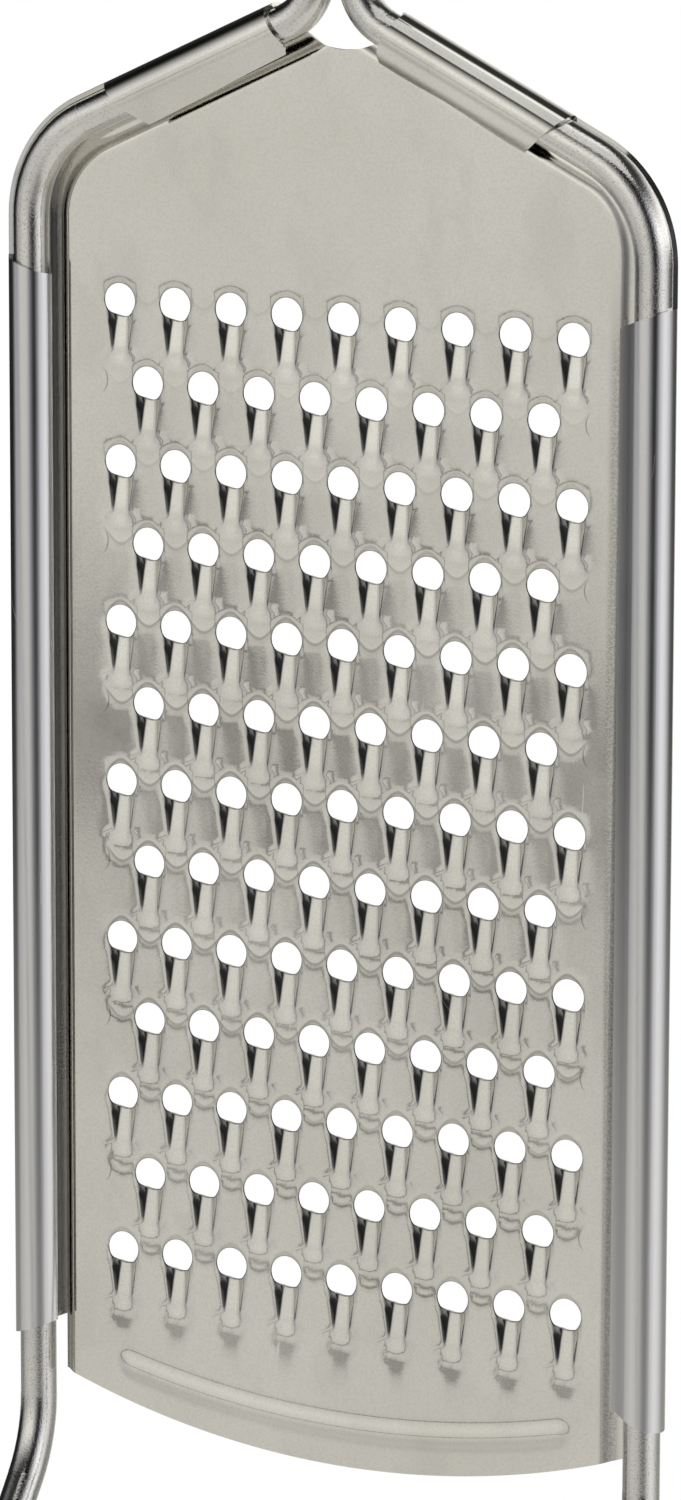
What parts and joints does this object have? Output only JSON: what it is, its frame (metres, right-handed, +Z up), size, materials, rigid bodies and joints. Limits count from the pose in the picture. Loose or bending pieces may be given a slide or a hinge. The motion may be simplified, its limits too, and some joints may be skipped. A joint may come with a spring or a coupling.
{
  "type": "hand grater",
  "caption": "Flat hand grater: a pressed steel sheet with round-hole teeth, rolled round a bent wire frame with a loop handle and capped, hooked feet.",
  "frame": {"origin": "the point of the handle loop's inner wall that hangs on a hook: the top of the loop's inside, in the plane of the wire's centre line", "axes": "+Z up, from the feet to the handle; -Y the side that the picture shows, with the rolled edges, the hollows of the teeth and the bent feet; +Y the side that grates, where the cutting edges stand out; +X to the right seen from -Y"},
  "size_m": [0.1096, 0.0283, 0.3884],
  "materials": {
    "sheet_steel": "satin stainless sheet, faint grain",
    "wire_steel": "bright drawn stainless wire, lightly pitted",
    "cap_rubber": "matt"
  },
  "bodies": {
    "root": {"grater_plate": "sheet_steel", "left_side_wire": "wire_steel", "right_side_wire": "wire_steel", "handle_loop": "wire_steel", "left_foot_cap": "cap_rubber", "right_foot_cap": "cap_rubber"}
  },
  "joints": []
}
